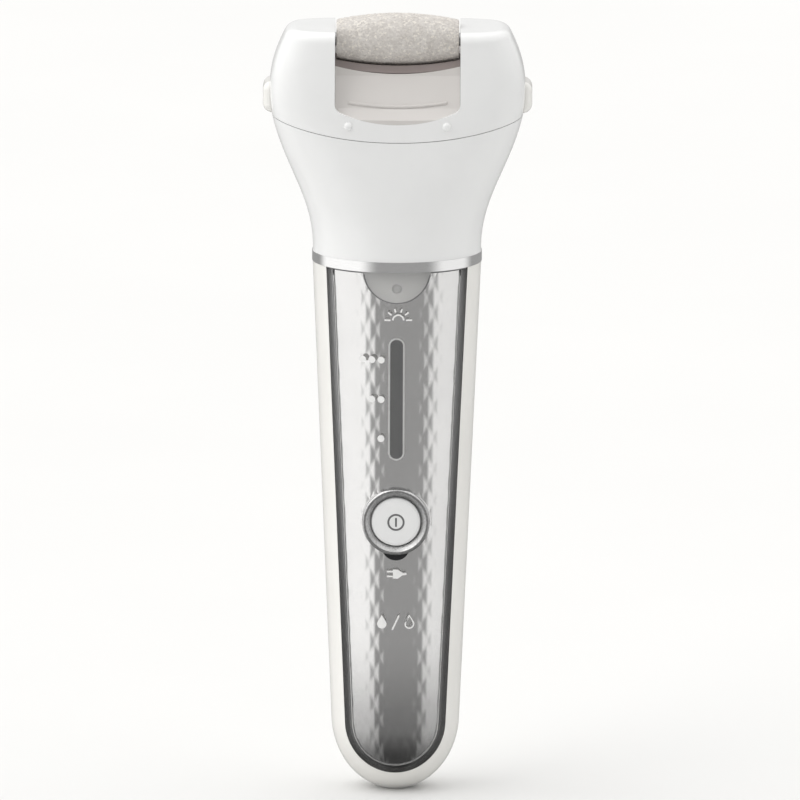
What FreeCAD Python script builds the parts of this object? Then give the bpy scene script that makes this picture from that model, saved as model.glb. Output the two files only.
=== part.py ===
import FreeCAD, Part
import math
import os

# Electric callus remover, standing upright. Millimetres, +Z up, front towards -Y.
# The origin is in the middle of the small flat under the handle.

V = FreeCAD.Vector
FAR = 60.0                      # half size of the blocks used for trimming

# ---- handle: tapered oval body with an elliptical foot ----
HANDLE_TOP = 121.0
TOP_HALF_WIDTH = 18.85
TOP_HALF_DEPTH = 15.5
LOW_HALF_WIDTH = 14.35
FOOT_CENTRE = 16.6              # height where the straight sides end
FOOT_REACH = 17.0
TAPER = (TOP_HALF_WIDTH - LOW_HALF_WIDTH) / (HANDLE_TOP - FOOT_CENTRE)
WALL = 2.0
SPLIT_Y = 2.0                   # parting plane of the two shells
PARTING_GAP = 0.2

# ---- front window ----
WINDOW_LOW_HALF = 11.3
WINDOW_REACH = 11.7
COVER_THICK = 1.4
PLATE_DEPTH = (1.5, 2.3)        # front and back of the decor plate below the surface
POCKET_DEPTH = 2.4
POCKET_FLOOR = 1.2
PLATE_INSET = 1.9
TOP_GASKET = 0.35               # dark line between the window and the ring

# ---- level bar, lens, button ----
BAR_HALF = 1.4
BAR_TRIM = 0.4
BAR_LOW, BAR_HIGH = 79.4, 104.0     # centres of the bar's round ends
LENS_Z, LENS_R = 121.4, 7.65
LED_Z, LED_R = 117.0, 1.0
BUTTON_Z = 63.6
BEZEL_R, BUTTON_R = 7.55, 5.5
BEZEL_FRONT, BEZEL_BACK = -13.9, -9.9
BUTTON_FRONT = -13.75
LAMP_Z, LAMP_R = 57.9, 3.1

# ---- accent ring and head ----
RING_TOP = 123.3
RING_PROUD = 0.15
RING_FLANGE = 3.4
HEAD_TOP = 174.3
HEAD_WALL = 1.6
TOP_ROUND = 2.8
# height, half width, half depth, squareness of each cross-section
HEAD_STATIONS = (
    (RING_TOP, 18.85, 15.5, 2.0),
    (130.0, 19.45, 15.6, 2.1),
    (137.2, 21.7, 15.6, 2.3),
    (144.5, 24.8, 15.4, 2.6),
    (151.8, 27.4, 14.9, 3.0),
    (158.5, 28.6, 14.0, 3.5),
    (163.5, 28.4, 13.0, 3.9),
    (168.8, 27.05, 11.9, 4.0),
    (HEAD_TOP, 24.5, 11.0, 4.0),
)
SECTION_POINTS = 32
SEAM_MIDDLE, SEAM_RISE, SEAM_SPAN = 150.4, 5.6, 32.0
SEAM_GAP = 0.14
COLLAR_PLAY, COLLAR_THICK, COLLAR_REACH = 0.35, 0.85, 2.6
STEP_HIGH = 2.2                 # height of the ledge that carries the collar

# ---- roller, webs and scoop ----
ROLLER_Y, ROLLER_Z = -1.0, 171.3
ROLLER_MID_R, ROLLER_END_R = 5.95, 4.45
ROLLER_HALF = 13.7
WEB_IN, WEB_OUT = 14.0, 15.4
FIT_HALF = 13.95                # half width of what stands between the webs
BUSH_R = 2.6
AXLE_R = 1.5
TROUGH_GAP, TROUGH_THICK, TROUGH_ANGLE = 0.9, 1.95, 42.0
RIDGE_BEND, RIDGE_R, RIDGE_HALF = 59.0, 0.4, 11.0    # raised line on the scoop
TRAY_GAP = 3.0                  # from the roller to the edge of the scoop
REAR_LIP_Z = 166.0

# ---- gear train, all axes along X at ROLLER_Y ----
FINE, COARSE = 0.25, 0.4        # gear modules
MESH_GAP = 0.05
ROLLER_TEETH, IDLER_TEETH, OUTPUT_TEETH = 14, 36, 20
REDUCTION_TEETH, PINION_TEETH = 40, 10
FINE_X = (16.2, 18.8)
COARSE_X = (11.2, 13.4)
IDLER_UP_Z = ROLLER_Z - FINE * (ROLLER_TEETH + IDLER_TEETH) / 2 - MESH_GAP
IDLER_LOW_Z = IDLER_UP_Z - FINE * IDLER_TEETH - MESH_GAP
REDUCTION_Z = IDLER_LOW_Z - FINE * (IDLER_TEETH + OUTPUT_TEETH) / 2 - MESH_GAP
MOTOR_Z = REDUCTION_Z - COARSE * (REDUCTION_TEETH + PINION_TEETH) / 2 - MESH_GAP
RUN_FIT = 0.05                  # radial play of everything that turns on a pin
PIN_HEAD_X = (18.95, 19.6)

# ---- motor and its frame ----
CAN_X = (-12.6, 8.0)
CAN_R, CAN_HALF_DEPTH = 10.0, 7.6
PLATE_X = (8.0, 9.4)
BASE_Z = (RING_TOP, 125.3)

# ---- release buttons ----
NUB_X = (25.4, 30.1)
NUB_HALF_Y = 4.9
NUB_Z = (155.0, 162.2)
NUB_ROUND, NUB_PLAY = 2.1, 0.2
FLANGE_X = (24.2, 25.4)
SEAT_X, SEAT_Z = (19.8, 21.6), (155.4, 163.4)
SPRING_R, SPRING_WIRE, SPRING_TURNS = 1.35, 0.17, 5
SEAT_BORE = (1.9, 1.4)          # radius and depth

# ---- inside the handle ----
CELL_R, CELL_Y, CELL_Z = 7.1, 1.9, (24.5, 74.5)
RAIL_X = (7.4, 8.6)
BOARD_Y = (-6.9, -5.9)
BOARD_HALF, BOARD_Z = 8.0, (54.0, 119.0)
CROSS_PLATES = ((22.0, 24.0), (79.0, 83.0), (112.0, 116.0))
BOARD_SCREW_X = 6.4
NECK_SCREW = (11.6, 6.8)
CONTACT_X, CONTACT_Z, CONTACT_R = 2.6, 18.0, 1.25


# ---------------------------------------------------------------- helpers
def box(x, y, z):
    """Block between two x, two y and two z values."""
    return Part.makeBox(x[1] - x[0], y[1] - y[0], z[1] - z[0], V(x[0], y[0], z[0]))


def rod_x(radius, x, y, z):
    """Cylinder along X between two x values."""
    return Part.makeCylinder(radius, x[1] - x[0], V(x[0], y, z), V(1, 0, 0))


def rod_y(radius, y, x, z):
    """Cylinder along Y between two y values."""
    return Part.makeCylinder(radius, y[1] - y[0], V(x, y[0], z), V(0, 1, 0))


def rod_z(radius, x, y, z):
    """Cylinder along Z between two z values."""
    return Part.makeCylinder(radius, z[1] - z[0], V(x, y, z[0]))


def join(*shapes):
    """One solid from several that touch or overlap."""
    whole = shapes[0]
    for shape in shapes[1:]:
        whole = whole.fuse(shape)
    return whole.removeSplitter()


def pair(shape):
    """The shape and its mirror image across the middle plane."""
    return [shape, shape.mirror(V(), V(1, 0, 0))]


def group(shapes):
    """Separate solids kept in one node."""
    return Part.makeCompound(shapes)


def turned_y(points, z):
    """Solid turned about a Y axis at height z, from (radius, y) points."""
    corners = [V(r, y, z) for r, y in points]
    face = Part.Face(Part.makePolygon(corners + corners[:1]))
    return face.revolve(V(0, 0, z), V(0, 1, 0), 360)


def save(name, shape):
    """Write one node."""
    shape.exportStep("parts/%s.step" % name)


# ---------------------------------------------------------------- handle body
def taper_side(half_low, reach):
    """Foot arc and straight side of a tapered outline, on the +X side."""
    centre = V(0, 0, FOOT_CENTRE)
    oval = Part.Ellipse(centre - V(0, 0, reach), centre + V(half_low, 0, 0), centre)
    arc = Part.ArcOfEllipse(oval, 0, math.atan2(half_low, reach * TAPER))
    start = arc.EndPoint
    top = V(start.x + TAPER * (HANDLE_TOP - start.z), 0, HANDLE_TOP)
    return arc, start, top


def handle(inset):
    """Solid handle, its surface moved inwards by the inset."""
    arc, start, top = taper_side(LOW_HALF_WIDTH - inset, FOOT_REACH - inset)
    foot, crown = arc.StartPoint, V(0, 0, HANDLE_TOP)
    edges = [arc.toShape(), Part.makeLine(start, top), Part.makeLine(top, crown),
             Part.makeLine(crown, foot)]
    turned = Part.Face(Part.Wire(edges)).revolve(V(), V(0, 0, 1), 360)
    flatten = FreeCAD.Matrix()
    flatten.A22 = (TOP_HALF_DEPTH - inset) / (TOP_HALF_WIDTH - inset)
    oval = turned.transformGeometry(flatten)
    return oval.common(box((-FAR, FAR), (-FAR, FAR), (0, HANDLE_TOP)))


def layer(depth_out, depth_in):
    """Skin of the handle between two depths below its surface."""
    return handle(depth_out).cut(handle(depth_in))


def window(inset):
    """Prism of the window's outline, from the middle plane forwards."""
    arc, start, top = taper_side(WINDOW_LOW_HALF - inset, WINDOW_REACH - inset)
    right = [arc.toShape(), Part.makeLine(start, top)]
    left = [edge.mirror(V(), V(1, 0, 0)) for edge in right]
    lid = Part.makeLine(top, V(-top.x, 0, top.z))
    outline = Part.Wire(Part.__sortEdges__(right + left + [lid]))
    return Part.Face(outline).extrude(V(0, -FAR, 0))


def bar(half_width):
    """Round-ended upright slot on the front."""
    middle = box((-half_width, half_width), (-FAR, -5), (BAR_LOW, BAR_HIGH))
    ends = [rod_y(half_width, (-FAR, -5), 0, z) for z in (BAR_LOW, BAR_HIGH)]
    return join(middle, *ends)


def front_holes(play):
    """What the lens, the bezel and the charge lamp take out of cover and plate."""
    return [rod_y(BEZEL_R + play, (-FAR, -5), 0, BUTTON_Z),
            rod_y(LENS_R + play, (-FAR, -5), 0, LENS_Z),
            rod_y(LAMP_R + play, (-FAR, -5), 0, LAMP_Z)]


def front_shell():
    skin = layer(0, WALL)
    thick = layer(0, POCKET_DEPTH + POCKET_FLOOR).common(window(-POCKET_FLOOR))
    pocket = window(0).cut(handle(POCKET_DEPTH))
    shell = join(skin, thick).common(box((-FAR, FAR), (-FAR, SPLIT_Y), (0, HANDLE_TOP)))
    openings = [pocket, rod_y(BEZEL_R + 0.1, (-FAR, -5), 0, BUTTON_Z), bar(BAR_HALF + 0.05),
                rod_y(LED_R + 0.1, (-FAR, -5), 0, LED_Z)]
    return shell.cut(openings)


def rear_cover():
    behind = box((-FAR, FAR), (SPLIT_Y + PARTING_GAP, FAR), (0, HANDLE_TOP))
    bosses = pair(rod_z(2.9, NECK_SCREW[0], NECK_SCREW[1], (111, HANDLE_TOP)))
    bosses = [boss.common(handle(1.0)) for boss in bosses]
    bores = pair(rod_z(0.9, NECK_SCREW[0], NECK_SCREW[1], (114, HANDLE_TOP)))
    shell = join(layer(0, WALL), *bosses).common(behind)
    return shell.cut(bores + [contact_pocket(0.05)] + grip_grooves())


def grip_grooves():
    """Shallow level grooves moulded into the back."""
    skin = layer(-0.5, 0.45)
    count, pitch, low = 8, 4.2, 52.0
    grooves = []
    for step in range(count):
        half = 8.6 - 0.12 * (count - step)
        z = low + pitch * step
        slot = join(box((-half, half), (5, FAR), (z - 0.6, z + 0.6)),
                    *pair(rod_y(0.6, (5, FAR), half, z)))
        grooves.append(skin.common(slot))
    return grooves


def contact_pocket(play):
    """Round-ended block through the lower back, where the charging contacts sit."""
    half, reach = 2.2 + play, CONTACT_X + 1.0
    middle = box((-reach, reach), (6, FAR), (CONTACT_Z - half, CONTACT_Z + half))
    return join(middle, *pair(rod_y(half, (6, FAR), reach, CONTACT_Z)))


def handle_pieces():
    holes = front_holes(0.05)
    top_line = box((-FAR, FAR), (-FAR, 0), (HANDLE_TOP - TOP_GASKET, HANDLE_TOP))
    cover = layer(0, COVER_THICK).common(window(0.06)).cut(holes + [top_line])
    plate = layer(*PLATE_DEPTH).common(window(PLATE_INSET))
    plate = plate.cut(holes + [bar(BAR_HALF + BAR_TRIM + 0.02), top_line])
    ring = window(0.1).cut(window(PLATE_INSET - 0.05))
    strip = layer(0.25, PLATE_DEPTH[1]).common(window(0.1)).common(top_line)
    gasket = join(layer(*PLATE_DEPTH).common(ring), strip).cut(holes)
    bezel_space = rod_y(BEZEL_R + 0.05, (-FAR, -5), 0, BUTTON_Z)
    lamp = layer(0, PLATE_DEPTH[1]).common(rod_y(LAMP_R, (-FAR, -5), 0, LAMP_Z))
    lens = layer(-0.12, PLATE_DEPTH[1]).common(rod_y(LENS_R, (-FAR, -5), 0, LENS_Z))
    carrier = layer(0.15, 5.0).common(contact_pocket(0))
    contacts = pair(rod_y(CONTACT_R, (5.0, 12.4), CONTACT_X, CONTACT_Z))
    contacts = [c.common(handle(0.1)) for c in contacts]
    trim = bar(BAR_HALF + BAR_TRIM).cut(bar(BAR_HALF))
    parting = box((-FAR, FAR), (SPLIT_Y, SPLIT_Y + PARTING_GAP), (0, HANDLE_TOP))
    save("body_seal", layer(0.35, WALL - 0.2).common(parting))
    save("front_shell", front_shell())
    save("rear_cover", rear_cover())
    save("window_cover", cover)
    save("decor_plate", plate)
    save("window_gasket", gasket)
    save("charge_lamp", lamp.cut(bezel_space))
    save("light_lens", lens)
    save("level_bar", layer(PLATE_DEPTH[0], 4.4).common(bar(BAR_HALF)))
    save("level_trim", layer(*PLATE_DEPTH).common(trim))
    save("contact_carrier", carrier.cut(contacts))
    save("charging_contacts", group(contacts))


def button_pieces():
    rim = BEZEL_FRONT
    bezel = turned_y([(BEZEL_R, BEZEL_BACK), (BEZEL_R, rim + 0.35), (BEZEL_R - 0.3, rim),
                      (BEZEL_R - 0.75, rim), (5.75, rim + 1.0), (5.75, rim + 2.15),
                      (6.7, rim + 2.15), (6.7, BEZEL_BACK)], BUTTON_Z)
    face = BUTTON_FRONT
    button = turned_y([(0, face), (3.2, face + 0.06), (4.9, face + 0.2), (5.35, face + 0.4),
                       (BUTTON_R, face + 0.75), (BUTTON_R, face + 2.1), (6.4, face + 2.1),
                       (6.4, face + 2.7), (1.6, face + 2.7), (1.6, face + 2.85),
                       (0, face + 2.85)], BUTTON_Z)
    seal = turned_y([(4.6, BEZEL_BACK), (7.5, BEZEL_BACK), (7.5, BEZEL_BACK + 0.6),
                     (4.6, BEZEL_BACK + 0.6)], BUTTON_Z)
    switch = join(box((-3, 3), (-9.8, BOARD_Y[0]), (BUTTON_Z - 3, BUTTON_Z + 3)),
                  rod_y(1.5, (-10.2, -9.8), 0, BUTTON_Z))
    save("button_bezel", bezel)
    save("power_button", button)
    save("button_seal", seal)
    save("power_switch", switch)


# ---------------------------------------------------------------- inside the handle
def electronics():
    screw_spots = [(x, z) for x in (-BOARD_SCREW_X, BOARD_SCREW_X) for z in (81.0, 114.0)]
    shanks = [rod_y(0.8, (BOARD_Y[0] - 0.8, BOARD_Y[1] + 3.0), x, z) for x, z in screw_spots]
    heads = [rod_y(1.4, (BOARD_Y[0] - 0.8, BOARD_Y[0]), x, z) for x, z in screw_spots]
    board = box((-BOARD_HALF, BOARD_HALF), BOARD_Y, BOARD_Z)
    chassis = [box((-RAIL_X[1], RAIL_X[1]), (BOARD_Y[1], 6), z) for z in CROSS_PLATES[1:]]
    chassis.append(box((-RAIL_X[1], RAIL_X[1]), (-2, 6), CROSS_PLATES[0]))
    chassis += pair(box(RAIL_X, (BOARD_Y[1], 6), (50, CROSS_PLATES[2][1])))
    chassis += pair(box(RAIL_X, (-2, 6), (CROSS_PLATES[0][0], 50)))
    leds = [box((-0.8, 0.8), (BOARD_Y[0] - 0.8, BOARD_Y[0]), (z - 0.6, z + 0.6))
            for z in (82.8, 91.8, 100.9)]
    lamp = box((-0.7, 0.7), (BOARD_Y[0] - 0.8, BOARD_Y[0]), (LAMP_Z - 0.5, LAMP_Z + 0.5))
    headlamp = join(rod_y(LED_R, (-12.2, BOARD_Y[0]), 0, LED_Z),
                    Part.makeSphere(LED_R, V(0, -12.2, LED_Z)).common(handle(PLATE_DEPTH[1] + 0.1)))
    tabs = [box((-2.5, 2.5), (-5.8, 3), (CELL_Z[1], CELL_Z[1] + 0.4)),
            box((-2.5, 2.5), (-1.9, 3), (CELL_Z[0] - 0.5, CELL_Z[0]))]
    save("main_board", board.cut(shanks))
    save("board_screws", group([join(a, b) for a, b in zip(shanks, heads)]))
    save("chassis", join(*chassis).cut(shanks))
    save("indicator_leds", group(leds + [lamp]))
    save("headlamp_led", headlamp)
    save("control_chip", box((-3.5, 3.5), (BOARD_Y[0] - 1.0, BOARD_Y[0]), (70, 77)))
    save("battery_cell", rod_z(CELL_R, 0, CELL_Y, CELL_Z))
    save("battery_tabs", group(tabs))


# ---------------------------------------------------------------- head surfaces
def section(z, half_x, half_y, squareness):
    """Rounded cross-section; 2 is an ellipse and higher numbers are squarer."""
    points = []
    for k in range(SECTION_POINTS):
        angle = 2 * math.pi * (k + 0.5) / SECTION_POINTS + math.pi / 4
        c, s = math.cos(angle), math.sin(angle)
        reach = (abs(c) ** squareness + abs(s) ** squareness) ** (-1 / squareness)
        points.append(V(half_x * c * reach, half_y * s * reach, z))
    curve = Part.BSplineCurve()
    curve.interpolate(Points=points, PeriodicFlag=True)
    return Part.Wire(curve.toShape())


def head(inset):
    """Solid head from the accent ring to its flat top, moved inwards by the inset."""
    rings = [section(z, a - inset, b - inset, n) for z, a, b, n in HEAD_STATIONS]
    return Part.makeLoft(rings, True, False)


def rounded_head():
    """Outside of the head, its top edge rounded over."""
    solid = head(0)
    rim = [e for e in solid.Edges if abs(e.BoundBox.ZMin - HEAD_TOP) < 0.01]
    return solid.makeFillet(TOP_ROUND, rim)


def below_seam(shift):
    """Everything under the arched joint line between neck and head frame."""
    side = SEAM_MIDDLE + SEAM_RISE + shift
    left, right = V(-SEAM_SPAN, -FAR, side), V(SEAM_SPAN, -FAR, side)
    arch = Part.Arc(left, V(0, -FAR, SEAM_MIDDLE + shift), right)
    low_left, low_right = V(-SEAM_SPAN, -FAR, 100), V(SEAM_SPAN, -FAR, 100)
    edges = [arch.toShape(), Part.makeLine(right, low_right),
             Part.makeLine(low_right, low_left), Part.makeLine(low_left, left)]
    return Part.Face(Part.Wire(edges)).extrude(V(0, 2 * FAR, 0))


def oval_plate(inset, z):
    """Oval slab with the handle top's outline moved inwards by the inset."""
    oval = Part.Ellipse(V(0, 0, z[0]), TOP_HALF_WIDTH - inset, TOP_HALF_DEPTH - inset)
    return Part.Face(Part.Wire(oval.toShape())).extrude(V(0, 0, z[1] - z[0]))


def neck_pieces():
    ring = oval_plate(-RING_PROUD, (HANDLE_TOP, RING_TOP))
    ring = ring.cut(oval_plate(RING_FLANGE, (HANDLE_TOP, RING_TOP)))
    groove = (RING_TOP - 0.8, RING_TOP)
    seal = oval_plate(WALL + 0.4, groove).cut(oval_plate(WALL + 1.1, groove))
    spot = NECK_SCREW
    screws = [join(rod_z(0.9, x, spot[1], (114, BASE_Z[1])),
                   rod_z(1.7, x, spot[1], (BASE_Z[1], BASE_Z[1] + 1.1)))
              for x in (-spot[0], spot[0])]
    neck = head(0).cut(head(WALL)).common(below_seam(-SEAM_GAP / 2))
    ledge = box((22.6, 30), (-2.4, 2.4), (150.0, 151.0)).common(head(1.0))
    ledge = ledge.cut(box((0, 23.9), (-5, 5), (149, 152)))
    save("accent_ring", ring.cut(screws + [seal]))
    save("neck_seal", seal)
    save("neck_screws", group(screws))
    save("neck_cover", join(neck, *pair(ledge)))
    return screws


# ---------------------------------------------------------------- head frame
def front_cutout():
    """Opening between the horns at the front, with a sagging lower edge."""
    low, side, reach, corner = 154.4, 158.7, 12.5, 156.8
    turn = V(-WEB_IN + 0.42, -FAR, 157.5)
    left = [V(-WEB_IN, -FAR, 200), V(-WEB_IN, -FAR, side), V(-reach, -FAR, corner)]
    right = [V(-p.x, p.y, p.z) for p in left]
    edges = [Part.makeLine(left[0], left[1]), Part.Arc(left[1], turn, left[2]).toShape(),
             Part.Arc(left[2], V(0, -FAR, low), right[2]).toShape(),
             Part.Arc(right[2], V(-turn.x, -FAR, turn.z), right[1]).toShape(),
             Part.makeLine(right[1], right[0]), Part.makeLine(right[0], left[0])]
    return Part.Face(Part.Wire(edges)).extrude(V(0, FAR, 0))


def rear_cutout():
    """Opening between the horns at the back, with rounded lower corners."""
    block = box((-WEB_IN, WEB_IN), (0, FAR), (REAR_LIP_Z, 200))
    corners = [e for e in block.Edges
               if abs(e.BoundBox.ZMax - REAR_LIP_Z) < 0.01 and e.BoundBox.YLength > 1]
    return block.makeFillet(2.0, corners)


def blank_frame():
    """Outside of the head frame, with the collar that locates it inside the neck."""
    collar = head(WALL + COLLAR_PLAY).common(below_seam(2.0)).cut(below_seam(-COLLAR_REACH))
    return rounded_head().cut(below_seam(SEAM_GAP / 2)).fuse(collar)


def frame_hollow():
    """Inside of the head frame, leaving two webs and the spring seats standing."""
    ceiling = box((-FAR, FAR), (-FAR, FAR), (100, HEAD_TOP - HEAD_WALL))
    behind_nubs = pair(box((SEAT_X[1] + 0.1, FAR), (-6, 6), (140, SEAT_Z[0] + 3)))
    upper = head(HEAD_WALL).common(ceiling.cut(below_seam(STEP_HIGH)).fuse(behind_nubs))
    lower = head(WALL + COLLAR_PLAY + COLLAR_THICK).common(below_seam(STEP_HIGH + 2))
    webs = pair(box((WEB_IN, WEB_OUT), (-FAR, FAR), (100, 200)))
    seats = pair(box(SEAT_X, (-FAR, FAR), SEAT_Z))
    return upper.fuse(lower).cut(webs + seats)


def nub_holes():
    """Rounded holes in the side walls, with a slot under each for the latch hook."""
    across = (-NUB_HALF_Y - NUB_PLAY, NUB_HALF_Y + NUB_PLAY)
    hole = box((24, FAR), across, (NUB_Z[0] - NUB_PLAY, NUB_Z[1] + NUB_PLAY))
    corners = [e for e in hole.Edges if e.BoundBox.XLength > 1]
    slot = box((24, 26.2), across, (150, NUB_Z[0] + 1))
    return pair(hole.makeFillet(NUB_ROUND, corners)) + pair(slot)


def head_frame():
    mid_z = (NUB_Z[0] + NUB_Z[1]) / 2
    tools = [frame_hollow(), front_cutout(), rear_cutout()]
    tools += pair(rod_x(SEAT_BORE[0], (SEAT_X[1] - SEAT_BORE[1], SEAT_X[1]), 0, mid_z))
    tools += nub_holes()
    tools.append(box((WEB_IN - 0.5, WEB_OUT + 0.5), (ROLLER_Y - 3, ROLLER_Y + 3), (140, 151.9)))
    tools += pair(box((WEB_OUT, FINE_X[1] + 0.2), (ROLLER_Y - 2.4, ROLLER_Y + 2.4),
                      (170, HEAD_TOP - 0.8)))
    tools.append(rod_x(BUSH_R, (-WEB_OUT, WEB_OUT), ROLLER_Y, ROLLER_Z))
    tools += [pin(z, 14.3) for z in (IDLER_UP_Z, IDLER_LOW_Z)]
    shell = blank_frame()
    for tool in tools:
        shell = shell.cut(tool)
    return join(shell, *detents(shell))


def detents(shell):
    """Two small domes on the front under the scoop."""
    domes = []
    for x in (-11.0, 11.0):
        z = 154.0
        ray = Part.makeLine(V(x, -FAR, z), V(x, -8, z)).common(shell)
        front = min(vertex.Y for vertex in ray.Vertexes)
        domes.append(Part.makeSphere(1.05, V(x, front + 0.4, z)))
    return domes


def barrel(extra):
    """Face of the roller's side profile, grown outwards, in the plane above the axis."""
    half = FIT_HALF if extra else ROLLER_HALF
    bow = (ROLLER_MID_R - ROLLER_END_R) * (half / ROLLER_HALF) ** 2
    mid, end = ROLLER_MID_R + extra, ROLLER_MID_R + extra - bow
    points = [V(-half, ROLLER_Y, ROLLER_Z + end), V(0, ROLLER_Y, ROLLER_Z + mid),
              V(half, ROLLER_Y, ROLLER_Z + end)]
    left, right = V(-half, ROLLER_Y, ROLLER_Z), V(half, ROLLER_Y, ROLLER_Z)
    edges = [Part.Arc(*points).toShape(), Part.makeLine(points[2], right),
             Part.makeLine(right, left), Part.makeLine(left, points[0])]
    return Part.Face(Part.Wire(edges))


def spun(face, start, sweep):
    """The face turned about the roller axis; angle 0 is straight up, positive to the back."""
    axis = V(0, ROLLER_Y, ROLLER_Z)
    face = face.copy()
    face.rotate(axis, V(1, 0, 0), -start)
    return face.revolve(axis, V(1, 0, 0), -sweep)


def roller_trough():
    """Dark channel under the roller that keeps dust off the gears, with a rear deck."""
    start, sweep = 180 - TROUGH_ANGLE, 2 * TROUGH_ANGLE
    outside = spun(barrel(TROUGH_GAP + TROUGH_THICK), start, sweep)
    inside = spun(barrel(TROUGH_GAP), 0, 360)
    deck = box((-FIT_HALF, FIT_HALF), (4.2, 13), (REAR_LIP_Z - 1.2, REAR_LIP_Z - 0.1))
    deck = deck.common(head(HEAD_WALL + 0.05)).cut(spun(barrel(TROUGH_GAP + 0.5), 0, 360))
    return join(outside, deck).cut(inside)


def dust_tray(frame):
    """Sloping scoop in front of the roller, with a sagging raised line across it."""
    foot, crest = V(0, -11.6, 157.7), V(0, -7.0, 164.2)
    face = [(-14.6, 153.6), (-14.6, 155.2), (foot.y, foot.z), (crest.y, crest.z),
            (-6.3, 166.5), (-5.3, 166.5), (-6.0, 163.8), (-10.2, 157.4), (-12.0, 155.6),
            (-12.0, 153.6)]
    corners = [V(-FIT_HALF, y, z) for y, z in face]
    solid = Part.Face(Part.makePolygon(corners + corners[:1])).extrude(V(2 * FIT_HALF, 0, 0))
    up = (crest - foot).normalize()
    out = V(1, 0, 0).cross(up)
    ring = Part.makeTorus(RIDGE_BEND, RIDGE_R, foot + up * (RIDGE_BEND + 0.3), out)
    ridge = ring.common(box((-RIDGE_HALF, RIDGE_HALF), (-FAR, 0), (150, 165)))
    roller_space = spun(barrel(TRAY_GAP), 0, 360)
    return join(solid.common(head(0.15)), ridge).cut([roller_space, frame])


def frame_pieces():
    frame = head_frame()
    bush = rod_x(BUSH_R, (WEB_IN, WEB_OUT), ROLLER_Y, ROLLER_Z)
    bush = bush.cut(rod_x(AXLE_R + RUN_FIT, (WEB_IN, WEB_OUT), ROLLER_Y, ROLLER_Z))
    right_bush, left_bush = pair(bush)
    save("head_frame", frame)
    save("dust_tray", dust_tray(frame))
    save("roller_trough", roller_trough())
    save("roller_bush_left", left_bush)
    save("roller_bush_right", right_bush)
    save("idler_pins", group([pin(z, 14.3) for z in (IDLER_UP_Z, IDLER_LOW_Z)]))


# ---------------------------------------------------------------- release buttons
def release_button():
    """Right-hand button: nub, retaining flange and latch arm reaching into the neck."""
    mid_z = (NUB_Z[0] + NUB_Z[1]) / 2
    nub = box(NUB_X, (-NUB_HALF_Y, NUB_HALF_Y), NUB_Z)
    outer = [e for e in nub.Edges if e.BoundBox.XMax > NUB_X[1] - 0.01
             and e.BoundBox.XLength < 0.01]
    edges = outer + [e for e in nub.Edges if e.BoundBox.XLength > 1]
    nub = nub.makeFillet(NUB_ROUND, edges)
    flange = box(FLANGE_X, (-5.4, 5.4), (154.9, 163.3))
    shelf = box((22.2, FLANGE_X[1]), (-2.0, 2.0), (153.6, 155.2))
    arm = box((22.2, 23.2), (-2.0, 2.0), (148.6, 154.8))
    hook = box((23.2, 23.75), (-2.0, 2.0), (148.6, 149.7))
    coil = spring(mid_z)
    return join(nub, flange, shelf, arm, hook), coil


def spring(z):
    """Small coil behind the flange, as a ribbed sleeve; its free end is in the seat's bore."""
    start, end = SEAT_X[1] - 0.1, FLANGE_X[0]
    step = (end - start) / (2 * SPRING_TURNS)
    radii = [SPRING_R - SPRING_WIRE, SPRING_R + SPRING_WIRE]
    wave = [(start + step * k, radii[k % 2]) for k in range(2 * SPRING_TURNS + 1)]
    outer = [V(x, 0, z + r + SPRING_WIRE / 2) for x, r in wave]
    inner = [V(x, 0, z + r - SPRING_WIRE) for x, r in reversed(wave)]
    face = Part.Face(Part.makePolygon(outer + inner + outer[:1]))
    return face.revolve(V(0, 0, z), V(1, 0, 0), 360)


def release_pieces():
    button, coil = release_button()
    for side, shapes in (("right", (button, coil)), ("left", [pair(s)[1] for s in (button, coil)])):
        save("release_button_" + side, shapes[0])
        save("release_spring_" + side, shapes[1])


# ---------------------------------------------------------------- gears and motor
def flank_angle(radius, base):
    """Angle that an involute has turned at a radius."""
    if radius <= base:
        return 0.0
    roll = math.sqrt((radius / base) ** 2 - 1)
    return roll - math.atan(roll)


def gear(teeth, module, x, z, tooth_up, bore):
    """Spur gear about X with a tooth, or else a gap, pointing straight up."""
    pitch_r = teeth * module / 2
    base = pitch_r * math.cos(math.radians(20))
    root, tip = pitch_r - 1.25 * module, pitch_r + 0.7 * module
    half = 0.44 * math.pi / teeth + flank_angle(pitch_r, base)
    radii = [root, max(base, root + 0.02), pitch_r, tip]
    side = [(r, half - flank_angle(r, base)) for r in radii]
    outline = [(r, -a) for r, a in side] + [(r, a) for r, a in reversed(side)]
    turn = 0.0 if tooth_up else math.pi / teeth
    corners = []
    for tooth in range(teeth):
        middle = turn + 2 * math.pi * tooth / teeth
        corners += [V(x[0], ROLLER_Y + r * math.sin(middle + a), z + r * math.cos(middle + a))
                    for r, a in outline]
    blank = Part.Face(Part.makePolygon(corners + corners[:1])).extrude(V(x[1] - x[0], 0, 0))
    return blank.cut(rod_x(bore, (x[0] - 1, x[1] + 1), ROLLER_Y, z))


def pin(z, start):
    """Headed stub axle along X."""
    return join(rod_x(0.9, (start, PIN_HEAD_X[1]), ROLLER_Y, z),
                rod_x(1.5, PIN_HEAD_X, ROLLER_Y, z))


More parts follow.
